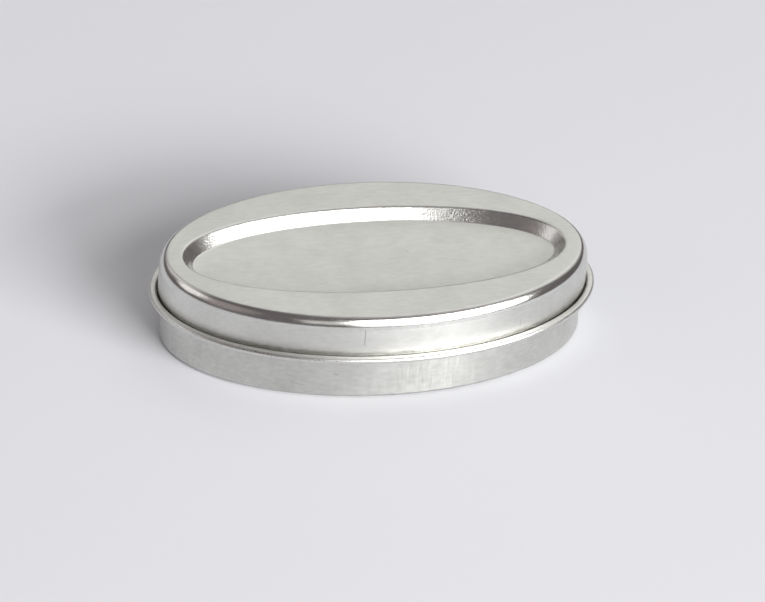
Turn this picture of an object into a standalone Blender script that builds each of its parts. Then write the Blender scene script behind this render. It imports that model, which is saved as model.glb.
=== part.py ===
"""Oval slip-lid tin in bare tinplate, standing on its base with its long side along X.

The whole tin is two pressings. The base is a drawn cup, and the lid slips down over it and
lifts straight off. Each pressing is one unbroken sheet, modelled with both of its faces and
with its cut edge, so its wall thickness is real everywhere.

Lengths are in metres and +Z is up. The origin is at the middle of the underside.
A profile is drawn beside the wall, as a list of places on the sheet. Each place gives the
distance outwards from an ellipse and the height, once for each face of the sheet.
"""
import math

import bmesh
import bpy

# The sheet, and the plan and height of the closed tin
SHEET = 0.00025
LID_HALF_LENGTH = 0.0480
LID_HALF_WIDTH = 0.0268
TIN_HEIGHT = 0.0214

# The lid's skirt, with the rounded shoulder above it and the outward curl round its lower edge.
# The shoulder turns down from the flat on its own radius, and eases into the skirt on a larger one
LID_DEPTH = 0.0104
SHOULDER_RADIUS = 0.0014
SHOULDER_DEGREES = 48
SHOULDER_EASE_RADIUS = 0.0041
CURL_RADIUS = 0.00065
CURL_REACH = 0.0020
CURL_CREVICE = 0.0005

# The oval panel pressed into the lid. Its plan is measured at the edge of its flat floor
PANEL_FLOOR_HALF_LENGTH = 0.0404
PANEL_FLOOR_HALF_WIDTH = 0.0133
PANEL_DEPTH = 0.0026
PANEL_SLOPE_RUN = 0.0030
PANEL_RIM_RADIUS = 0.0011
PANEL_FOOT_RADIUS = 0.0005

# The base, with the small radius round its foot and the inward curl round its mouth
BASE_CORNER_RADIUS = 0.0008
MOUTH_CURL_RADIUS = 0.0008
MOUTH_CURL_DEGREES = 250

# Room between the two pressings: round the slip fit, and where the lid sits on the mouth
SLIP_CLEARANCE = 0.0005
SEAT_GAP = 0.0003

# Counts of flats round the plan and along the bends
PLAN_SEGMENTS = 72
SMALL_BEND_STEPS = 3
SHOULDER_STEPS = 3
SHOULDER_EASE_STEPS = 4
CURL_STEPS = 8
MOUTH_CURL_STEPS = 9

SMOOTH_DEGREES = 35

# Colour, roughness and metallic value of each pressing
FINISHES = {
    "tin_base": ((0.60, 0.60, 0.57, 1.0), 0.30, 1.0),
    "tin_lid": ((0.62, 0.62, 0.59, 1.0), 0.28, 1.0),
}


def clear_scene():
    """Remove whatever objects the scene starts with."""
    for thing in list(bpy.data.objects):
        bpy.data.objects.remove(thing, do_unlink=True)


def bend(centre_out, centre_up, face_radius, back_radius, start, end, steps):
    """Return the places along a bend: its face and its back turn about one centre."""
    places = []
    for step in range(steps + 1):
        angle = math.radians(start + (end - start) * step / steps)
        across = math.cos(angle)
        rise = math.sin(angle)
        face = (centre_out + face_radius * across, centre_up + face_radius * rise)
        back = (centre_out + back_radius * across, centre_up + back_radius * rise)
        places.append((face, back))
    return places


def on_ellipse(half_length, half_width, places):
    """Say which ellipse each place of a profile is measured from."""
    return [((half_length, half_width, *face), (half_length, half_width, *back)) for face, back in places]


def panel_profile():
    """Return the pressed panel's places, from the edge of its floor out to its rim.

    The slope is the straight line that touches both bends, the one at its foot and the one
    at its rim, so its angle follows from the depth, the run and the two radii.
    """
    both_radii = PANEL_FOOT_RADIUS + PANEL_RIM_RADIUS
    centres_apart = math.hypot(PANEL_SLOPE_RUN, PANEL_DEPTH - both_radii)
    slope = math.degrees(
        math.atan2(PANEL_DEPTH - both_radii, PANEL_SLOPE_RUN) + math.asin(both_radii / centres_apart)
    )
    foot = bend(
        0, PANEL_FOOT_RADIUS - PANEL_DEPTH,
        PANEL_FOOT_RADIUS, PANEL_FOOT_RADIUS + SHEET,
        270, 270 + slope, SMALL_BEND_STEPS,
    )
    rim = bend(
        PANEL_SLOPE_RUN, -PANEL_RIM_RADIUS,
        PANEL_RIM_RADIUS, PANEL_RIM_RADIUS - SHEET,
        90 + slope, 90, SMALL_BEND_STEPS,
    )
    return foot + rim


def shoulder_size():
    """Return how far in from the skirt's face the shoulder starts, and how far down it ends."""
    turn = math.radians(SHOULDER_DEGREES)
    radii_apart = SHOULDER_EASE_RADIUS - SHOULDER_RADIUS
    return SHOULDER_EASE_RADIUS - radii_apart * math.sin(turn), SHOULDER_RADIUS + radii_apart * math.cos(turn)


def skirt_profile():
    """Return the places from the lid's shoulder down its skirt and round the outward curl."""
    curl_up = CURL_RADIUS - LID_DEPTH
    tight = CURL_RADIUS - SHEET
    shoulder_in, shoulder_down = shoulder_size()
    shoulder = bend(
        -shoulder_in, -SHOULDER_RADIUS,
        SHOULDER_RADIUS, SHOULDER_RADIUS - SHEET,
        90, 90 - SHOULDER_DEGREES, SHOULDER_STEPS,
    )
    ease = bend(
        -SHOULDER_EASE_RADIUS, -shoulder_down,
        SHOULDER_EASE_RADIUS, SHOULDER_EASE_RADIUS - SHEET,
        90 - SHOULDER_DEGREES, 0, SHOULDER_EASE_STEPS,
    )
    turn_out = bend(tight, curl_up, tight, CURL_RADIUS, 180, 270, SMALL_BEND_STEPS)
    outer_half = bend(CURL_REACH - CURL_RADIUS, curl_up, tight, CURL_RADIUS, 270, 450, CURL_STEPS)
    turn_in = bend(CURL_CREVICE + CURL_RADIUS, curl_up, tight, CURL_RADIUS, 90, 180, SMALL_BEND_STEPS)
    return shoulder + ease[1:] + turn_out + outer_half + turn_in


def mouth_height(wall_out):
    """Return the height of the centre of the mouth's curl, below the lid's top face.

    The curl lies the seat gap under the lid's flat, or as high as the inside of the shoulder's
    easy bend lets it lie, whichever is lower.
    """
    shoulder_down = shoulder_size()[1]
    under_flat = -SHEET - SEAT_GAP - MOUTH_CURL_RADIUS
    past_centre = wall_out - MOUTH_CURL_RADIUS + SHOULDER_EASE_RADIUS
    room = SHOULDER_EASE_RADIUS - SHEET - SEAT_GAP - MOUTH_CURL_RADIUS
    if past_centre <= 0 or room <= past_centre:
        return under_flat
    return min(under_flat, math.sqrt(room ** 2 - past_centre ** 2) - shoulder_down)


def base_profile():
    """Return the base's places, from its foot up its wall and round the inward curl."""
    wall_out = -SHEET - SLIP_CLEARANCE
    curl_up = TIN_HEIGHT + mouth_height(wall_out)
    corner = bend(
        wall_out - BASE_CORNER_RADIUS, BASE_CORNER_RADIUS,
        BASE_CORNER_RADIUS, BASE_CORNER_RADIUS - SHEET,
        270, 360, SMALL_BEND_STEPS,
    )
    curl = bend(
        wall_out - MOUTH_CURL_RADIUS, curl_up,
        MOUTH_CURL_RADIUS, MOUTH_CURL_RADIUS - SHEET,
        0, MOUTH_CURL_DEGREES, MOUTH_CURL_STEPS,
    )
    return corner + curl


def ring_point(place, index):
    """Return a point of the ring that a place sweeps: square out from its ellipse, and up."""
    half_length, half_width, out, up = place
    turn = math.tau * index / PLAN_SEGMENTS
    normal_x = half_width * math.cos(turn)
    normal_y = half_length * math.sin(turn)
    normal = math.hypot(normal_x, normal_y)
    return (
        half_length * math.cos(turn) + out * normal_x / normal,
        half_width * math.sin(turn) + out * normal_y / normal,
        up,
    )


def sweep_sheet(name, places):
    """Sweep a sheet's profile round the plan and close it over the middle on both faces.

    The sweep runs out along one face, over the cut edge and back along the other. Every ring
    is extruded from the last one, and each vertex keeps its index round the plan.
    """
    faces = [face for face, back in places]
    backs = [back for face, back in reversed(places)]
    shape = bmesh.new()
    round_plan = shape.verts.layers.int.new("round_plan")
    first = bmesh.ops.create_circle(shape, segments=PLAN_SEGMENTS, radius=LID_HALF_LENGTH)["verts"]
    for index, vertex in enumerate(first):
        vertex[round_plan] = index
        vertex.co = ring_point(faces[0], index)
    ring = list(shape.edges)
    bmesh.ops.contextual_create(shape, geom=ring)
    for place in faces[1:] + backs:
        extruded = bmesh.ops.extrude_edge_only(shape, edges=ring)["geom"]
        for vertex in extruded:
            if isinstance(vertex, bmesh.types.BMVert):
                vertex.co = ring_point(place, vertex[round_plan])
        ring = [edge for edge in extruded if isinstance(edge, bmesh.types.BMEdge) and edge.is_boundary]
    bmesh.ops.contextual_create(shape, geom=ring)
    bmesh.ops.triangulate(shape, faces=[face for face in shape.faces if len(face.verts) > 4])
    bmesh.ops.recalc_face_normals(shape, faces=shape.faces)
    mesh = bpy.data.meshes.new(name)
    shape.to_mesh(mesh)
    shape.free()
    return mesh


def dress(mesh, name):
    """Shade a pressing smooth up to its creases and give it its own tinplate."""
    colour, roughness, metallic = FINISHES[name]
    mesh.shade_smooth()
    mesh.set_sharp_from_angle(angle=math.radians(SMOOTH_DEGREES))
    material = bpy.data.materials.new(name + "_tinplate")
    material.use_nodes = True
    shader = material.node_tree.nodes["Principled BSDF"]
    shader.inputs["Base Color"].default_value = colour
    shader.inputs["Roughness"].default_value = roughness
    shader.inputs["Metallic"].default_value = metallic
    mesh.materials.append(material)


def place_piece(name, places, height, parent=None):
    """Make one pressing as an object whose origin is on the tin's upright axis."""
    mesh = sweep_sheet(name, places)
    dress(mesh, name)
    piece = bpy.data.objects.new(name, mesh)
    piece.location = (0, 0, height)
    piece.parent = parent
    bpy.context.collection.objects.link(piece)
    return piece


def build_tin():
    """Make the base, and the lid that lifts off it along Z."""
    base_places = on_ellipse(LID_HALF_LENGTH, LID_HALF_WIDTH, base_profile())
    base = place_piece("tin_base", base_places, 0)
    lid_places = on_ellipse(PANEL_FLOOR_HALF_LENGTH, PANEL_FLOOR_HALF_WIDTH, panel_profile())
    lid_places += on_ellipse(LID_HALF_LENGTH, LID_HALF_WIDTH, skirt_profile())
    place_piece("tin_lid", lid_places, TIN_HEIGHT, parent=base)


clear_scene()
build_tin()
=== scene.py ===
"""Studio scene of an oval slip-lid tin in bare tinplate.

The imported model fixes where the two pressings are. This script presses each of them again as a
fine sheet, gives the metal its finish, and sets the floor, the light and the camera.
Lengths are in metres, and a name that ends in _mm holds millimetres.
"""
import logging
import math
from dataclasses import dataclass, field
from enum import IntEnum

import bpy
from mathutils import Matrix, Vector


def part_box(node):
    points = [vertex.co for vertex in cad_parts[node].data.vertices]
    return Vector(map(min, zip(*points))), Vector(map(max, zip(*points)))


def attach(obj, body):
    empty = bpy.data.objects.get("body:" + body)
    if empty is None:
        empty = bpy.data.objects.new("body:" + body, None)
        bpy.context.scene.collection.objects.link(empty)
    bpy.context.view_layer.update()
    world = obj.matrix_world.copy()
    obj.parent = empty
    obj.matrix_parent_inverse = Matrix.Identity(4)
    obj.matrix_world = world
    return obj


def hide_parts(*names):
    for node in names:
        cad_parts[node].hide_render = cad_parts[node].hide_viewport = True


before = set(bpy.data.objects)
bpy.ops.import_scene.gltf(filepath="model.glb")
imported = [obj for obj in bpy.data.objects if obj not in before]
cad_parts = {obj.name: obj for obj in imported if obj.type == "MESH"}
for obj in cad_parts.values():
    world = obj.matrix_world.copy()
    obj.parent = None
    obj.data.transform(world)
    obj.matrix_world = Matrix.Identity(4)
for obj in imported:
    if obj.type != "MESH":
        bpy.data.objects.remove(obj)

Tree = bpy.types.NodeTree
Socket = bpy.types.NodeSocket

MM = 0.001
LOG = logging.getLogger("tin")

# Both pressings: the gauge of the strip, and how far the curl reaches out from the lid's skirt
SHEET = 0.25 * MM
CURL_REACH = 2.0 * MM

# How a cut edge is eased, and which creases stay sharp
EDGE_EASE = 0.05 * MM
EDGE_STEPS = 2
EDGE_DEGREES = 60
CREASE_DEGREES = 50
FACE_WEIGHT = 50

# How close to a height a ring lies, and how upright and how near the top a belt's faces are
RING_MISS = 0.001 * MM
BELT_TILT = 0.1
BELT_MISS = 0.1 * MM

# A Mix node has the same names for its numbers and its colours, so these go by their places
NUMBER_A, NUMBER_B = 2, 3
COLOUR_A, COLOUR_B, COLOUR_OUT = 6, 7, 2


class Way(IntEnum):
    """Which way a sheet faces in its section, in degrees that turn from outwards over upwards."""

    OUT = 0
    UP = 90
    IN = 180
    DOWN = 270
    OUT_AGAIN = 360


def linear(hex_colour: str) -> tuple[float, float, float, float]:
    """Turn an sRGB hex colour into linear red, green, blue and alpha.

    Args:
        hex_colour: the colour as "#RRGGBB".

    Returns:
        The four linear values, with alpha 1.
    """
    parts = [int(hex_colour[place:place + 2], 16) / 255 for place in (1, 3, 5)]
    curved = [part / 12.92 if part <= 0.04045 else ((part + 0.055) / 1.055) ** 2.4 for part in parts]
    return (*curved, 1.0)


def bearing_way(bearing: float, elevation: float) -> Vector:
    """Return the unit vector of a bearing, clockwise from +Y seen from above, and an elevation."""
    turn, lift = math.radians(bearing), math.radians(elevation)
    return Vector((math.sin(turn) * math.cos(lift), math.cos(turn) * math.cos(lift), math.sin(lift)))


def add_node(tree: Tree, kind: str, links: dict | None = None, **settings) -> bpy.types.Node:
    """Add a shader node.

    Args:
        tree: the node tree to add to.
        kind: the node's Blender type.
        links: for each input, by name or number, the output that feeds it or its fixed value.
        settings: the node's own properties.

    Returns:
        The new node.
    """
    node = tree.nodes.new(kind)
    for name, value in settings.items():
        setattr(node, name, value)
    for name, value in (links or {}).items():
        if isinstance(value, bpy.types.NodeSocket):
            tree.links.new(value, node.inputs[name])
        else:
            node.inputs[name].default_value = value
    return node


@dataclass(frozen=True)
class Pattern:
    """A noise whose features have a real size along each axis, with its number of finer layers."""

    size_mm: tuple[float, float, float]
    layers: float

    def value(self, tree: Tree, place: Socket) -> Socket:
        """Add the noise.

        Args:
            tree: the node tree to add to.
            place: the coordinates to read.

        Returns:
            The noise's value, from 0 to 1.
        """
        scale = [1 / (size * MM) for size in self.size_mm]
        sized = add_node(tree, "ShaderNodeVectorMath", {0: place, 1: scale}, operation="MULTIPLY")
        found = add_node(
            tree, "ShaderNodeTexNoise", {"Vector": sized.outputs[0], "Scale": 1.0, "Detail": self.layers}
        )
        return found.outputs[0]


@dataclass(frozen=True)
class Scratch:
    """One fine scratch or tick: a short straight line, darker than the bright tin beside it.

    Real ones are a few hundredths of a millimetre wide. They're drawn wider, so that they show.
    """

    start_mm: tuple[float, float, float]
    end_mm: tuple[float, float, float]
    width_mm: float = 0.16
    depth: float = 0.5

    def share(self, tree: Tree, place: Socket) -> Socket:
        """Return the scratch's depth along its line and 0 beside it.

        Args:
            tree: the node tree to add to.
            place: the coordinates to read.

        Returns:
            The share of the scratch's colour at each point.
        """
        start, end = (Vector(point) * MM for point in (self.start_mm, self.end_mm))
        along = end - start
        per_length = along / along.length_squared
        offset = add_node(tree, "ShaderNodeVectorMath", {0: place, 1: start}, operation="SUBTRACT").outputs[0]
        passed = add_node(tree, "ShaderNodeVectorMath", {0: offset, 1: per_length}, operation="DOT_PRODUCT")
        held = add_node(tree, "ShaderNodeClamp", {0: passed.outputs["Value"]}).outputs[0]
        nearest = add_node(
            tree, "ShaderNodeVectorMath", {0: along, "Scale": held}, operation="SCALE"
        ).outputs[0]
        gap = add_node(tree, "ShaderNodeVectorMath", {0: offset, 1: nearest}, operation="DISTANCE")
        found = add_node(
            tree, "ShaderNodeMapRange",
            {
                "Value": gap.outputs["Value"],
                "From Max": self.width_mm * MM,
                "To Min": self.depth, "To Max": 0.0,
            },
            interpolation_type="SMOOTHSTEP",
        )
        return found.outputs[0]


@dataclass(frozen=True)
class Band:
    """A band of height with soft ends."""

    low: float
    high: float
    low_fade: float = 0.15 * MM
    high_fade: float = 0.15 * MM
    strength: float = 1.0

    def share(self, tree: Tree, place: Socket) -> Socket:
        """Return the band's strength inside it and 0 beyond it.

        Args:
            tree: the node tree to add to.
            place: the coordinates to read.

        Returns:
            The band's share at each point.
        """
        height = add_node(tree, "ShaderNodeSeparateXYZ", {"Vector": place}).outputs["Z"]
        rise, fall = (
            add_node(
                tree, "ShaderNodeMapRange",
                {"Value": height, "From Min": outer, "From Max": inner, "To Max": strength},
                interpolation_type="SMOOTHSTEP",
            ).outputs[0]
            for outer, inner, strength in (
                (self.low, self.low + self.low_fade, self.strength),
                (self.high, self.high - self.high_fade, 1.0),
            )
        )
        return add_node(tree, "ShaderNodeMath", {0: rise, 1: fall}, operation="MULTIPLY").outputs[0]


@dataclass(frozen=True)
class PressedZones:
    """Where a pressing is bent, drawn upright or darkened by painted shade, and its scratches.

    The rims are its outer bends, which the tools leave smooth and bright. The side of the panel
    lies inside an oval, and there the sheet is stretched to an orange peel. Painted shade darkens
    the crevice above the lid's curl and the corner round the base's foot.
    """

    rims: tuple[Band, ...]
    walls: Band
    # Where painted shade darkens the sheet: the crevice above the curl, or the corner at the foot
    painted_shade: Band
    scratches: tuple[Scratch, ...]
    panel: Band | None = None
    panel_half_length: float = 0.0
    panel_half_width: float = 0.0
    oval_fade: float = 0.03

    def rim_share(self, tree: Tree, place: Socket) -> Socket:
        """Return how much of an outer bend there is at each point.

        Args:
            tree: the node tree to add to.
            place: the coordinates to read.

        Returns:
            The rims' strength on the outer bends and 0 elsewhere.
        """
        bent = self.most(tree, [band.share(tree, place) for band in self.rims])
        inside = self.inside_oval(tree, place)
        outside = add_node(tree, "ShaderNodeMath", {0: 1.0, 1: inside}, operation="SUBTRACT").outputs[0]
        return add_node(tree, "ShaderNodeMath", {0: bent, 1: outside}, operation="MULTIPLY").outputs[0]

    def panel_share(self, tree: Tree, place: Socket) -> Socket | float:
        """Return how much of the panel's side there is at each point.

        Args:
            tree: the node tree to add to.
            place: the coordinates to read.

        Returns:
            1 on the side of the panel and 0 elsewhere.
        """
        if self.panel is None:
            return 0.0
        sloping = self.panel.share(tree, place)
        inside = self.inside_oval(tree, place)
        return add_node(tree, "ShaderNodeMath", {0: sloping, 1: inside}, operation="MULTIPLY").outputs[0]

    def inside_oval(self, tree: Tree, place: Socket) -> Socket | float:
        """Return which points lie inside the panel's oval.

        Args:
            tree: the node tree to add to.
            place: the coordinates to read.

        Returns:
            1 inside the oval and 0 outside it.
        """
        if self.panel is None:
            return 0.0
        scale = (1 / self.panel_half_length, 1 / self.panel_half_width, 0)
        sized = add_node(tree, "ShaderNodeVectorMath", {0: place, 1: scale}, operation="MULTIPLY")
        reach = add_node(tree, "ShaderNodeVectorMath", {0: sized.outputs[0]}, operation="LENGTH")
        found = add_node(
            tree, "ShaderNodeMapRange",
            {"Value": reach.outputs["Value"], "From Min": 1 + self.oval_fade, "From Max": 1 - self.oval_fade},
        )
        return found.outputs[0]

    def scratched(self, tree: Tree, place: Socket) -> Socket:
        """Return how much scratch there is at each point."""
        return self.most(tree, [scratch.share(tree, place) for scratch in self.scratches])

    @staticmethod
    def most(tree: Tree, shares: list[Socket]) -> Socket:
        """Return the largest of several shares.

        Args:
            tree: the node tree to add to.
            shares: the shares to compare.

        Returns:
            The largest share at each point.
        """
        total = shares[0]
        for share in shares[1:]:
            total = add_node(tree, "ShaderNodeMath", {0: total, 1: share}, operation="MAXIMUM").outputs[0]
        return total


@dataclass(frozen=True)
class Tinplate:
    """Bare tinplate: rolled steel strip with a bright tin coat, drawn in a press.

    The strip leaves the mill with a fine straight grain, which gives the flats a satin look.
    Drawing polishes the walls with upright hairlines, and where the sheet is stretched round a
    bend its surface turns to a fine orange peel, which breaks the edge of each reflection into
    specks. The tin coat is mottled, and it dulls where hands and other tins have rubbed it.
    """

    colour: str
    dull_colour: str
    scratch_colour: str = "#77736D"
    # Painted shade: the brownish colour that the crevice and the foot are darkened towards
    painted_shade_colour: str = "#625B50"
    satin_roughness: float = 0.40
    panel_roughness: float = 0.22
    rim_roughness: float = 0.15
    roughness_spread: float = 0.05
    grain_stretch: float = 0.65

    # The coat's mottling, in clouds of a finger's width and in flecks that run with the strip
    clouds: Pattern = Pattern((9.0, 9.0, 9.0), layers=3.0)
    mottle: Pattern = Pattern((2.2, 0.8, 0.8), layers=3.0)
    tone_low: float = 0.35
    tone_high: float = 0.65

    # The mill's lines lie a few hundredths of a millimetre apart, and are drawn coarser to show
    rolled: Pattern = Pattern((5.0, 0.25, 0.25), layers=2.0)
    drawn: Pattern = Pattern((0.25, 0.25, 5.0), layers=2.0)
    grain_low: float = 0.3
    grain_high: float = 0.7
    grain_height_mm: float = 0.0018

    # Real orange peel is about 0.15 mm across, and is drawn twice as coarse to show
    peel: Pattern = Pattern((0.30, 0.30, 0.30), layers=2.0)
    peel_height_mm: float = 0.042
    rim_peel_share: float = 0.2

    # Thin sheet never lies quite flat
    wave: Pattern = Pattern((13.0, 13.0, 13.0), layers=1.0)
    wave_height_mm: float = 0.010

    # Keeps the turned grain finite where the sheet faces straight down
    least_raised: float = 0.05

    def material(self, name: str, zone: PressedZones) -> bpy.types.Material:
        """Make the material for one pressing.

        Args:
            name: the material's name.
            zone: where the sheet is bent, and its scratches.

        Returns:
            The material.
        """
        material = bpy.data.materials.new(name)
        material.use_nodes = True
        tree = material.node_tree
        shader = tree.nodes["Principled BSDF"]
        shader.inputs["Metallic"].default_value = 1.0
        shader.inputs["Anisotropic"].default_value = self.grain_stretch
        place = add_node(tree, "ShaderNodeTexCoord").outputs["Object"]
        panel = zone.panel_share(tree, place)
        rims = zone.rim_share(tree, place)
        grain = self.grain(tree, place, zone)
        feeds = {
            "Tangent": self.across_grain(tree),
            "Base Color": self.tint(tree, place, zone),
            "Roughness": self.polish(tree, grain, rims, panel),
            "Normal": self.relief(tree, place, grain, rims, panel),
        }
        for entry, feed in feeds.items():
            tree.links.new(feed, shader.inputs[entry])
        return material

    def tint(self, tree: Tree, place: Socket, zone: PressedZones) -> Socket:
        """Add the colour: bright tin with its dull patches, then the painted shade in the crevice and round
        the foot, then the scratches.

        Args:
            tree: the node tree to add to.
            place: the coordinates to read.
            zone: where the painted shade and the scratches are.

        Returns:
            The colour.
        """
        mottle = self.mottle.value(tree, place)
        blend = add_node(tree, "ShaderNodeMix", {NUMBER_A: self.clouds.value(tree, place), NUMBER_B: mottle})
        tone = add_node(
            tree, "ShaderNodeMapRange",
            {"Value": blend.outputs[0], "From Min": self.tone_low, "From Max": self.tone_high},
        )
        # Painted shade: the crevice and the foot are darkened towards the shade colour, unevenly with the
        # mottle
        shade_share = add_node(
            tree, "ShaderNodeMath", {0: zone.painted_shade.share(tree, place), 1: mottle}, operation="MULTIPLY"
        )
        coats = (
            (tone.outputs[0], self.dull_colour),
            (shade_share.outputs[0], self.painted_shade_colour),
            (zone.scratched(tree, place), self.scratch_colour),
        )
        colour = linear(self.colour)
        for share, coat_colour in coats:
            coat = add_node(
                tree, "ShaderNodeMix",
                {"Factor": share, COLOUR_A: colour, COLOUR_B: linear(coat_colour)},
                data_type="RGBA",
            )
            colour = coat.outputs[COLOUR_OUT]
        return colour

    def polish(self, tree: Tree, grain: Socket, rims: Socket, panel: Socket | float) -> Socket:
        """Add the roughness: satin on the flats, smoother on the bends, uneven along the grain.

        Args:
            tree: the node tree to add to.
            grain: the grain's pattern.
            rims: how much of an outer bend there is at each point.
            panel: how much of the panel's side there is at each point.

        Returns:
            The roughness.
        """
        roughness = self.satin_roughness
        for share, smoother in ((rims, self.rim_roughness), (panel, self.panel_roughness)):
            mixed = add_node(
                tree, "ShaderNodeMix", {"Factor": share, NUMBER_A: roughness, NUMBER_B: smoother}
            )
            roughness = mixed.outputs[0]
        spread = add_node(
            tree, "ShaderNodeMapRange",
            {
                "Value": grain,
                "From Min": self.grain_low, "From Max": self.grain_high,
                "To Min": -self.roughness_spread, "To Max": self.roughness_spread,
            },
        ).outputs[0]
        return add_node(tree, "ShaderNodeMath", {0: roughness, 1: spread}, operation="ADD").outputs[0]

    def relief(
        self, tree: Tree, place: Socket, grain: Socket, rims: Socket, panel: Socket | float
    ) -> Socket:
        """Add the relief: a slight wave, the grain on it, and orange peel on the bends.

        Args:
            tree: the node tree to add to.
            place: the coordinates to read.
            grain: the grain's pattern.
            rims: how much of an outer bend there is at each point.
            panel: how much of the panel's side there is at each point.

        Returns:
            The normal.
        """
        stretched = add_node(
            tree, "ShaderNodeMath", {0: rims, 1: self.rim_peel_share, 2: panel}, operation="MULTIPLY_ADD"
        ).outputs[0]
        peel = self.peel.value(tree, place)
        peel_here = add_node(tree, "ShaderNodeMath", {0: peel, 1: stretched}, operation="MULTIPLY").outputs[0]
        layers = (
            (self.wave.value(tree, place), self.wave_height_mm),
            (grain, self.grain_height_mm),
            (peel_here, self.peel_height_mm),
        )
        links: dict = {}
        for height, height_mm in layers:
            links.update({"Height": height, "Distance": height_mm * MM})
            links["Normal"] = add_node(tree, "ShaderNodeBump", links).outputs[0]
        return links["Normal"]

    def grain(self, tree: Tree, place: Socket, zone: PressedZones) -> Socket:
        """Add the fine lines: along the strip where it lies flat, and upright on the drawn walls.

        Args:
            tree: the node tree to add to.
            place: the coordinates to read.
            zone: where the pressing's walls are.

        Returns:
            The pattern, from 0 to 1.
        """
        rolled, drawn = (pattern.value(tree, place) for pattern in (self.rolled, self.drawn))
        walls = zone.walls.share(tree, place)
        both = add_node(tree, "ShaderNodeMix", {"Factor": walls, NUMBER_A: rolled, NUMBER_B: drawn})
        return both.outputs[0]

    def across_grain(self, tree: Tree) -> Socket:
        """Add the direction square to the rolled grain, which scatters light the most.

        The grain runs along X on the flat strip. Where the sheet is drawn down, the direction
        turns with it, by the least turn that takes the upright onto the surface's normal.

        Args:
            tree: the node tree to add to.

        Returns:
            The direction along the surface.
        """
        normal = add_node(tree, "ShaderNodeNewGeometry").outputs["Normal"]
        parts = add_node(tree, "ShaderNodeSeparateXYZ", {"Vector": normal}).outputs
        raised = add_node(tree, "ShaderNodeMath", {0: parts["Z"], 1: 1.0}, operation="ADD").outputs[0]
        kept = add_node(
            tree, "ShaderNodeMath", {0: raised, 1: self.least_raised}, operation="MAXIMUM"
        ).outputs[0]
        share = add_node(tree, "ShaderNodeMath", {0: parts["Y"], 1: kept}, operation="DIVIDE").outputs[0]
        halfway = add_node(
            tree, "ShaderNodeVectorMath", {0: normal, 1: (0, 0, 1)}, operation="ADD"
        ).outputs[0]
        turned = add_node(
            tree, "ShaderNodeVectorMath", {0: halfway, 1: share}, operation="MULTIPLY"
        ).outputs[0]
        across = add_node(tree, "ShaderNodeVectorMath", {0: (0, 1, 0), 1: turned}, operation="SUBTRACT")
        return across.outputs[0]


def select_only(*pieces: bpy.types.Object) -> None:
    """Select these pieces and no others, and make the first one active.

    Args:
        pieces: the pieces to select.
    """
    bpy.ops.object.select_all(action="DESELECT")
    for piece in pieces:
        piece.select_set(True)
    bpy.context.view_layer.objects.active = pieces[0]


def deselect_mesh(kind: str) -> None:
    """Deselect the active mesh all over, ready to pick some of it by its place.

    Args:
        kind: what is picked next, "EDGE" or "FACE".
    """
    bpy.ops.object.mode_set(mode="EDIT")
    bpy.ops.mesh.select_mode(type=kind)
    bpy.ops.mesh.select_all(action="DESELECT")
    bpy.ops.object.mode_set(mode="OBJECT")


def select_open_ring(piece: bpy.types.Object, height: float) -> None:
    """Go to edit mode with the open edges at one height selected.

    Args:
        piece: the active sheet.
        height: the height of the ring or rings.
    """
    deselect_mesh("EDGE")
    mesh = piece.data
    faces_beside = [0] * len(mesh.edges)
    for loop in mesh.loops:
        faces_beside[loop.edge_index] += 1
    for edge in mesh.edges:
        ends = [(piece.matrix_world @ mesh.vertices[index].co).z for index in edge.vertices]
        level = all(abs(end - height) < RING_MISS for end in ends)
        edge.select = level and faces_beside[edge.index] == 1
    bpy.ops.object.mode_set(mode="EDIT")


def remove_belt(piece: bpy.types.Object, top: float) -> None:
    """Take away the belt of a sheet that only needed it to start from.

    Args:
        piece: the sheet.
        top: the height of the belt's upper ring.
    """
    select_only(piece)
    deselect_mesh("FACE")
    for face in piece.data.polygons:
        upright = abs(face.normal.z) < BELT_TILT
        beside_top = abs((piece.matrix_world @ face.center).z - top) < BELT_MISS
        face.select = upright and beside_top
    bpy.ops.object.mode_set(mode="EDIT")
    bpy.ops.mesh.delete(type="FACE")
    bpy.ops.object.mode_set(mode="OBJECT")


def apply_modifier(piece: bpy.types.Object, kind: str, **settings) -> None:
    """Add a modifier and apply it.

    Args:
        piece: the active object.
        kind: the modifier's Blender type.
        settings: its properties.
    """
    modifier = piece.modifiers.new(kind.lower(), kind)
    for name, value in settings.items():
        setattr(modifier, name, value)
    bpy.ops.object.modifier_apply(modifier=modifier.name)


def finish_sheet(piece: bpy.types.Object, thickness: float) -> None:
    """Give the sheet its thickness, ease its cut edge and shade it.

    Args:
        piece: the single-faced sheet, facing away from its back.
        thickness: the thickness of the sheet.
    """
    select_only(piece)
    bpy.ops.object.transform_apply(location=True, rotation=True, scale=True)
    apply_modifier(
        piece, "SOLIDIFY", thickness=thickness, offset=-1.0, use_even_offset=True, use_quality_normals=True
    )
    apply_modifier(
        piece, "BEVEL", limit_method="ANGLE", angle_limit=math.radians(EDGE_DEGREES),
        width=EDGE_EASE, segments=EDGE_STEPS,
    )
    bpy.ops.object.shade_smooth_by_angle(angle=math.radians(CREASE_DEGREES))
    apply_modifier(piece, "WEIGHTED_NORMAL", keep_sharp=True, weight=FACE_WEIGHT)


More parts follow.
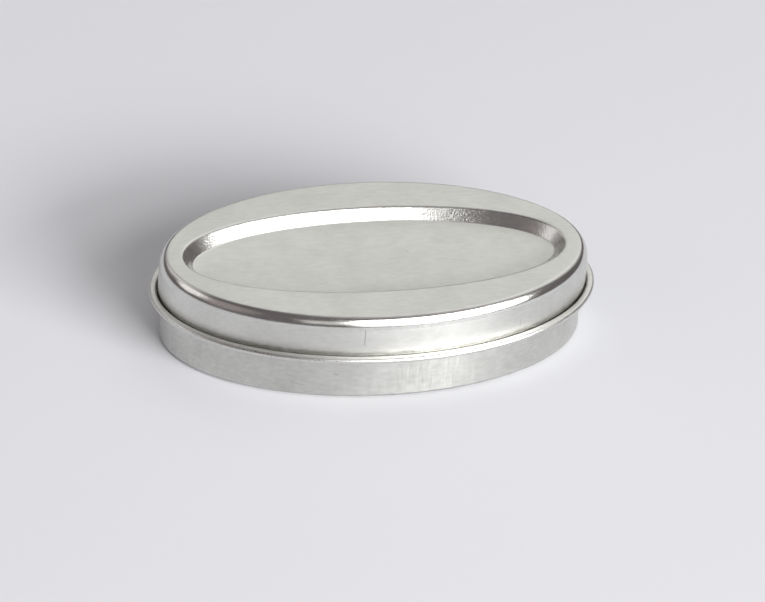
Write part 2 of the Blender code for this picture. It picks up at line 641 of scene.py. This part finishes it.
class OvalSheet:
    """One oval sheet worked in edit mode, ring by ring, from its widest belt.

    The belt is a short upright wall. From its upper or its lower ring the sheet goes on inwards:
    the ring is closed with one face, and every step insets that face evenly and shifts it up or
    down, so each bend keeps one section all the way round.
    """

    SEGMENTS = 384
    FLOOR_SHARES = (0.97, 0.88, 0.8, 0.7, 0.5)

    def __init__(
        self, name: str, half_length: float, half_width: float, outward: float, low: float, high: float
    ) -> None:
        """Raise the belt.

        Args:
            name: the object's name.
            half_length: half the length of the oval that the belt is measured from.
            half_width: half its width.
            outward: how far the belt stands out from that oval.
            low: the height of the belt's lower ring.
            high: the height of its upper ring.
        """
        self.low, self.high = low, high
        self.half_length, self.half_width = half_length + outward, half_width + outward
        self.reach = (self.half_length, self.half_width)
        self.out_way = 1.0
        bpy.ops.object.select_all(action="DESELECT")
        bpy.ops.mesh.primitive_circle_add(vertices=self.SEGMENTS, radius=1.0, location=(0, 0, low))
        self.piece = bpy.context.object
        self.piece.name = name
        self.piece.data.name = name
        bpy.ops.object.mode_set(mode="EDIT")
        bpy.ops.transform.resize(value=(half_length, half_width, 1.0))
        bpy.ops.mesh.extrude_edges_move(TRANSFORM_OT_translate={"value": (0, 0, high - low)})
        bpy.ops.mesh.select_all(action="SELECT")
        bpy.ops.mesh.normals_make_consistent(inside=False)
        bpy.ops.transform.shrink_fatten(value=outward, use_even_offset=True)
        bpy.ops.object.mode_set(mode="OBJECT")

    def close_ring(self, upper: bool) -> None:
        """Close one of the belt's rings with a face, ready for the first step.

        Args:
            upper: whether the sheet goes on from the belt's upper ring or from its lower one.
        """
        self.out_way = 1.0 if upper else -1.0
        self.reach = (self.half_length, self.half_width)
        select_open_ring(self.piece, self.high if upper else self.low)
        bpy.ops.mesh.edge_face_add()
        bpy.ops.mesh.select_mode(type="FACE")

    def step(self, inward: float, rise: float) -> None:
        """Inset the open face and shift it to its next ring.

        Args:
            inward: how far in the next ring lies; a negative value lets the sheet spread again.
            rise: how far up it lies.
        """
        bpy.ops.mesh.inset(
            thickness=max(inward, 0.0), depth=rise * self.out_way,
            use_boundary=True, use_even_offset=True, use_relative_offset=False,
        )
        if inward < 0:
            spread = [1 - inward / reach for reach in self.reach]
            bpy.ops.transform.resize(value=(*spread, 1.0))
        self.reach = tuple(reach - inward for reach in self.reach)

    def arc(self, radius: float, start: float, end: float, steps: int) -> None:
        """Bend the sheet along an arc of its section.

        Args:
            radius: the arc's radius.
            start: the angle where it starts, counted as Way counts it.
            end: the angle where it ends.
            steps: how many rings it takes.
        """
        turns = [math.radians(start + (end - start) * number / steps) for number in range(steps + 1)]
        for before, after in zip(turns, turns[1:]):
            self.step(
                radius * (math.cos(before) - math.cos(after)),
                radius * (math.sin(after) - math.sin(before)),
            )

    def flat_floor(self) -> None:
        """Draw the open face in over a flat floor and close it about its middle."""
        for share in self.FLOOR_SHARES:
            self.step(0.0, 0.0)
            bpy.ops.transform.resize(value=(share, share, 1.0))
        bpy.ops.mesh.poke()
        bpy.ops.object.mode_set(mode="OBJECT")

    def open_end(self) -> None:
        """Take the open face away, so that the sheet ends in its ring."""
        bpy.ops.mesh.delete(type="ONLY_FACE")
        bpy.ops.object.mode_set(mode="OBJECT")

    def turn_over(self) -> None:
        """Turn the sheet's faces over."""
        bpy.ops.object.mode_set(mode="EDIT")
        bpy.ops.mesh.select_all(action="SELECT")
        bpy.ops.mesh.flip_normals()
        bpy.ops.object.mode_set(mode="OBJECT")


@dataclass
class Lid:
    """The slip lid: panel, flat, shoulder, skirt and the curl round its lower edge."""

    sheet: float = SHEET
    curl_reach: float = CURL_REACH
    curl_radius: float = 0.65 * MM
    curl_crevice: float = 0.2 * MM
    curl_polish: float = 0.4
    shoulder_radius: float = 1.4 * MM
    shoulder_degrees: float = 48.0
    ease_radius: float = 4.1 * MM
    ease_fade: float = 1.4 * MM
    panel_floor_half_length: float = 40.4 * MM
    panel_floor_half_width: float = 13.3 * MM
    panel_depth: float = 2.6 * MM
    panel_run: float = 3.0 * MM
    rim_radius: float = 1.1 * MM
    foot_radius: float = 0.5 * MM
    flat_edge: float = 0.25 * MM
    flat_cuts: int = 4
    oval_margin: float = 1.2 * MM
    # Painted shade in the crevice above the curl: how high it reaches and how dark it is
    painted_shade_height: float = 1.3 * MM
    painted_shade_strength: float = 0.8
    belt: float = 0.002 * MM
    bend_steps: int = 8
    ease_steps: int = 12
    shoulder_steps: int = 10
    scratches: tuple[Scratch, ...] = (
        Scratch((-6.53, -26.55, 19.6), (-6.58, -26.55, 15.0), depth=0.7),
        Scratch((-7.6, -26.4, 19.4), (-7.62, -26.4, 17.4), width_mm=0.12, depth=0.3),
        Scratch((29.06, -21.33, 15.8), (29.1, -21.3, 13.6), width_mm=0.12, depth=0.35),
        Scratch((2.2, -26.76, 12.9), (4.4, -26.7, 12.7), width_mm=0.3, depth=0.35),
        Scratch((7.25, 2.0, 18.8), (7.9, 1.4, 18.8), depth=0.4),
        Scratch((-17.5, 4.6, 18.8), (-9.5, 3.1, 18.8), width_mm=0.12, depth=0.2),
        Scratch((-13.5, 20.7, 21.4), (-4.0, 21.2, 21.4), width_mm=0.12, depth=0.2),
    )
    low: float = field(init=False)
    top: float = field(init=False)
    piece: bpy.types.Object = field(init=False)

    def build(self) -> bpy.types.Object:
        """Press the lid as one sheet and finish it.

        Returns:
            The lid.
        """
        low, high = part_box("tin_lid")
        self.low, self.top = low.z, high.z
        skirt = self.skirt_sheet(high.x - self.curl_reach, high.y - self.curl_reach)
        panel = self.panel_sheet()
        self.piece = skirt.piece
        self.join(panel.piece)
        finish_sheet(self.piece, self.sheet)
        return self.piece

    def skirt_sheet(self, half_length: float, half_width: float) -> OvalSheet:
        """Press the curl, the skirt, the shoulder and the edge of the flat.

        The sheet is worked on the face that shows on the skirt, which is the inside of the curl.

        Args:
            half_length: half the length of the skirt's face.
            half_width: half its width.

        Returns:
            The sheet, open at the curl's cut edge and at the flat.
        """
        tight = self.curl_radius - self.sheet
        middle = self.low + self.curl_radius
        reach = self.curl_reach - self.sheet
        half_belt = self.belt / 2
        shoulder_way = Way.UP - self.shoulder_degrees
        sheet = OvalSheet("lid_shell", half_length, half_width, reach, middle - half_belt, middle + half_belt)
        sheet.close_ring(upper=True)
        sheet.arc(tight, Way.OUT, Way.UP, self.bend_steps)
        sheet.step(reach - 2 * tight - self.curl_crevice - self.sheet, 0.0)
        sheet.arc(tight, Way.UP, Way.IN, self.bend_steps)
        sheet.open_end()
        sheet.close_ring(upper=False)
        sheet.arc(tight, Way.OUT_AGAIN, Way.DOWN, self.bend_steps)
        sheet.step(reach - 2 * tight, 0.0)
        sheet.arc(tight, Way.DOWN, Way.IN, self.bend_steps)
        sheet.step(0.0, self.top - self.shoulder_down() - middle + half_belt)
        sheet.arc(self.ease_radius, Way.OUT, shoulder_way, self.ease_steps)
        sheet.arc(self.shoulder_radius, shoulder_way, Way.UP, self.shoulder_steps)
        sheet.step(self.flat_edge, 0.0)
        sheet.open_end()
        sheet.turn_over()
        return sheet

    def shoulder_down(self) -> float:
        """Return how far down the shoulder ends, after its tight bend and its easy one."""
        turn = math.radians(self.shoulder_degrees)
        return self.shoulder_radius + (self.ease_radius - self.shoulder_radius) * math.cos(turn)

    def panel_sheet(self) -> OvalSheet:
        """Press the oval panel: the edge of the flat, the sloping side and the floor.

        The side is the straight line that touches the bends at its rim and at its foot.

        Returns:
            The sheet, with the belt that it started from.
        """
        radii = self.rim_radius + self.foot_radius
        drop = self.panel_depth - radii
        slope = math.degrees(
            math.atan2(drop, self.panel_run) + math.asin(radii / math.hypot(self.panel_run, drop))
        )
        turn = math.radians(slope)
        run = self.panel_run - radii * math.sin(turn)
        fall = self.panel_depth - radii * (1 - math.cos(turn))
        sheet = OvalSheet(
            "lid_panel", self.panel_floor_half_length, self.panel_floor_half_width,
            self.panel_run + self.flat_edge, self.top - self.belt, self.top,
        )
        sheet.close_ring(upper=True)
        sheet.step(self.flat_edge, 0.0)
        sheet.arc(self.rim_radius, Way.UP, Way.UP + slope, self.bend_steps)
        sheet.step(run, -fall)
        sheet.arc(self.foot_radius, Way.DOWN + slope, Way.DOWN, self.bend_steps)
        sheet.flat_floor()
        return sheet

    def join(self, panel: bpy.types.Object) -> None:
        """Join the panel to the skirt and bridge the flat between them.

        Args:
            panel: the panel's sheet, with its belt.
        """
        remove_belt(panel, self.top)
        select_only(self.piece, panel)
        bpy.ops.object.join()
        select_open_ring(self.piece, self.top)
        bpy.ops.mesh.bridge_edge_loops(number_cuts=self.flat_cuts, interpolation="LINEAR")
        bpy.ops.object.mode_set(mode="OBJECT")

    def dress(self, finish: Tinplate) -> None:
        """Give the lid its finish, tie it to its body and hide its imported node.

        Args:
            finish: the lid's tinplate.
        """
        curl_top = self.low + 2 * self.curl_radius
        shoulder_foot = self.top - self.shoulder_down()
        # Painted shade: a band just above the curl darkens the foot of the skirt in the crevice
        painted_shade_top = curl_top + self.painted_shade_height
        zone = PressedZones(
            rims=(
                Band(self.low, curl_top, strength=self.curl_polish),
                Band(shoulder_foot, self.top, low_fade=self.ease_fade),
            ),
            walls=Band(self.low, self.top, high_fade=self.shoulder_down()),
            painted_shade=Band(curl_top, painted_shade_top, high_fade=self.painted_shade_height, strength=self.painted_shade_strength),
            scratches=self.scratches,
            panel=Band(self.top - self.panel_depth, self.top),
            panel_half_length=self.panel_floor_half_length + self.panel_run + self.oval_margin,
            panel_half_width=self.panel_floor_half_width + self.panel_run + self.oval_margin,
        )
        self.piece.data.materials.clear()
        self.piece.data.materials.append(finish.material("lid_tinplate", zone))
        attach(self.piece, "lid")
        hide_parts("tin_lid")


@dataclass
class Base:
    """The drawn base: underside, foot radius, wall and the inward curl round its mouth."""

    sheet: float = SHEET
    lid_curl_reach: float = CURL_REACH
    corner_radius: float = 0.8 * MM
    mouth_radius: float = 0.8 * MM
    mouth_turn: float = 250.0
    # How dark the painted shade on the corner round the foot is
    painted_shade_strength: float = 0.6
    corner_steps: int = 10
    mouth_steps: int = 20
    scratches: tuple[Scratch, ...] = (
        Scratch((-12.62, -25.1, 6.4), (-11.7, -25.23, 6.15), width_mm=0.2, depth=0.55),
        Scratch((-21.64, -23.14, 3.35), (-19.08, -23.82, 2.85), width_mm=0.14, depth=0.35),
        Scratch((-12.0, -25.2, 3.6), (-11.9, -25.2, 1.4), width_mm=0.12, depth=0.25),
        Scratch((4.6, -26.0, 5.4), (5.0, -26.0, 5.0), width_mm=0.2, depth=0.3),
        Scratch((-33.0, -18.4, 9.2), (-32.0, -18.9, 8.9), width_mm=0.12, depth=0.25),
    )
    mouth_foot: float = field(init=False)
    mouth_top: float = field(init=False)
    piece: bpy.types.Object = field(init=False)

    def build(self) -> bpy.types.Object:
        """Press the base as one sheet and finish it.

        Its wall keeps one distance from the lid's skirt, so it is measured from the skirt's oval.

        Returns:
            The base.
        """
        low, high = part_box("tin_base")
        lid_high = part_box("tin_lid")[1]
        self.mouth_top = high.z
        self.mouth_foot = high.z - 2 * self.mouth_radius
        skirt_length, skirt_width = lid_high.x - self.lid_curl_reach, lid_high.y - self.lid_curl_reach
        sheet = OvalSheet(
            "base_shell", skirt_length, skirt_width, high.x - skirt_length,
            low.z + self.corner_radius, high.z - self.mouth_radius,
        )
        sheet.close_ring(upper=True)
        sheet.arc(self.mouth_radius, Way.OUT, self.mouth_turn, self.mouth_steps)
        sheet.open_end()
        sheet.close_ring(upper=False)
        sheet.arc(self.corner_radius, Way.OUT_AGAIN, Way.DOWN, self.corner_steps)
        sheet.flat_floor()
        self.piece = sheet.piece
        finish_sheet(self.piece, self.sheet)
        return self.piece

    def dress(self, finish: Tinplate) -> None:
        """Give the base its finish, tie it to its body and hide its imported node.

        Args:
            finish: the base's tinplate.
        """
        zone = PressedZones(
            rims=(Band(0.0, self.corner_radius), Band(self.mouth_foot, self.mouth_top)),
            walls=Band(0.0, self.mouth_top),
            # Painted shade: the foot's corner is darkened where the base meets the floor
            painted_shade=Band(0.0, self.corner_radius, high_fade=self.corner_radius, strength=self.painted_shade_strength),
            scratches=self.scratches,
        )
        self.piece.data.materials.clear()
        self.piece.data.materials.append(finish.material("base_tinplate", zone))
        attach(self.piece, "base")
        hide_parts("tin_base")


@dataclass
class StudioFloor:
    """A plain pale sweep that the tin stands on: uncoated paper, which is matt."""

    colour: str = "#D1D2D6"
    roughness: float = 0.9
    specular: float = 0.1
    size: float = 8.0
    gap: float = 0.02 * MM

    def build(self) -> bpy.types.Object:
        """Lay the floor and give it its paper finish.

        Returns:
            The floor.
        """
        bpy.ops.object.select_all(action="DESELECT")
        bpy.ops.mesh.primitive_plane_add(size=self.size, location=(0, 0, -self.gap))
        floor = bpy.context.object
        floor.name = "studio_floor"
        material = bpy.data.materials.new("uncoated_paper")
        material.use_nodes = True
        shader = material.node_tree.nodes["Principled BSDF"]
        shader.inputs["Base Color"].default_value = linear(self.colour)
        shader.inputs["Roughness"].default_value = self.roughness
        shader.inputs["Specular IOR Level"].default_value = self.specular
        floor.data.materials.append(material)
        return floor


@dataclass(frozen=True)
class SoftBox:
    """One soft lamp, aimed at the tin. Its width and height are angles seen from the tin."""

    name: str
    bearing: float
    elevation: float
    wide: float
    high: float
    radiance: float
    distance: float = 2.6

    def place(self) -> bpy.types.Object:
        """Hang the lamp and aim it.

        Returns:
            The lamp.
        """
        way = bearing_way(self.bearing, self.elevation)
        width, height = (
            2 * self.distance * math.tan(math.radians(angle / 2)) for angle in (self.wide, self.high)
        )
        bpy.ops.object.light_add(type="AREA", location=way * self.distance)
        lamp = bpy.context.object
        lamp.name = self.name
        lamp.rotation_euler = way.to_track_quat("Z", "Y").to_euler()
        lamp.data.shape = "RECTANGLE"
        lamp.data.size = width
        lamp.data.size_y = height
        lamp.data.energy = self.radiance * math.pi * width * height
        return lamp


@dataclass(frozen=True)
class Card:
    """A round pale patch with a soft edge that adds to the surround. Angles are seen from the tin."""

    bearing: float
    elevation: float
    core: float
    edge: float
    colour: str


@dataclass
class StudioLight:
    """One big soft window with its bright middle, and a dim room with pale walls in places."""

    boxes: tuple[SoftBox, ...] = (
        SoftBox("key_window", 152, 23, 56, 30, 2.0),
        SoftBox("key_upper", 153, 38, 40, 14, 7.0),
        SoftBox("key_middle", 146, 21, 38, 13, 23.0),
        SoftBox("window_side", 188, 25, 18, 18, 0.55),
    )
    room: str = "#6D6869"
    cards: tuple[Card, ...] = (
        Card(15, 41, 10, 30, "#CED2CE"),
        Card(333, 44, 8, 34, "#A7A7A7"),
        Card(52, 48, 12, 30, "#B8B8B8"),
        Card(267, 28, 9, 20, "#FFFCFD"),
        Card(305, 29, 3, 20, "#9F9F9F"),
        Card(290, 49, 6, 19, "#ADAAAB"),
        Card(236, 29, 8, 24, "#7A7272"),
        Card(85, 71, 10, 30, "#9A9A9A"),
    )

    def build(self) -> None:
        """Hang the lamps and paint the surround."""
        for box in self.boxes:
            box.place()
        world = bpy.data.worlds.new("studio_surround")
        bpy.context.scene.world = world
        world.use_nodes = True
        tree = world.node_tree
        way = add_node(tree, "ShaderNodeTexCoord").outputs["Generated"]
        colour = linear(self.room)[:3]
        for card in self.cards:
            towards = add_node(
                tree, "ShaderNodeVectorMath",
                {0: way, 1: bearing_way(card.bearing, card.elevation)},
                operation="DOT_PRODUCT",
            )
            share = add_node(
                tree, "ShaderNodeMapRange",
                {
                    "Value": towards.outputs["Value"],
                    "From Min": math.cos(math.radians(card.edge)),
                    "From Max": math.cos(math.radians(card.core)),
                },
                interpolation_type="SMOOTHSTEP",
            )
            lit = add_node(
                tree, "ShaderNodeVectorMath",
                {0: share.outputs[0], 1: linear(card.colour)[:3], 2: colour},
                operation="MULTIPLY_ADD",
            )
            colour = lit.outputs[0]
        tree.links.new(colour, tree.nodes["Background"].inputs["Color"])


@dataclass
class ProductCamera:
    """A long lens that looks down on the tin from its front, a little from its left end."""

    bearing: float = 12.61
    elevation: float = 36.32
    roll: float = 4.44
    distance: float = 1.261
    lens_mm: float = 266.0
    clip_start: float = 0.05
    clip_end: float = 20.0
    aim: tuple[float, float, float] = (3.20 * MM, 2.76 * MM, 4.62 * MM)

    def build(self) -> bpy.types.Object:
        """Set the camera up and make it the scene's own.

        Returns:
            The camera.
        """
        turn, roll = math.radians(self.bearing), math.radians(self.roll)
        forward = bearing_way(self.bearing, -self.elevation)
        right = Vector((math.cos(turn), -math.sin(turn), 0))
        up = right.cross(forward)
        right, up = right * math.cos(roll) + up * math.sin(roll), up * math.cos(roll) - right * math.sin(roll)
        bpy.ops.object.camera_add()
        camera = bpy.context.object
        camera.name = "product_camera"
        place = Matrix((right, up, -forward)).transposed().to_4x4()
        place.translation = Vector(self.aim) - forward * self.distance
        camera.matrix_world = place
        camera.data.lens = self.lens_mm
        camera.data.clip_start = self.clip_start
        camera.data.clip_end = self.clip_end
        bpy.context.scene.camera = camera
        return camera


def main() -> None:
    """Build the scene in order: camera, light, floor, base, lid."""
    logging.basicConfig(level=logging.INFO, format="%(name)s: %(message)s")
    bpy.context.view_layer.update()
    bpy.context.scene.view_settings.view_transform = "Standard"
    LOG.info("camera: %s", ProductCamera().build().name)
    StudioLight().build()
    StudioFloor().build()
    pressings = (
        # The base's tin is the same metal as the lid's, set darker as painted shade: its wall stands for
        # reflecting the shaded floor by the foot
        (Base(), Tinplate(colour="#D6D6D2", dull_colour="#C3C3BF")),
        (Lid(), Tinplate(colour="#DDDDD9", dull_colour="#D1D1CD")),
    )
    for pressing, finish in pressings:
        piece = pressing.build()
        pressing.dress(finish)
        LOG.info("%s: %d faces", piece.name, len(piece.data.polygons))


if __name__ == "__main__":
    main()
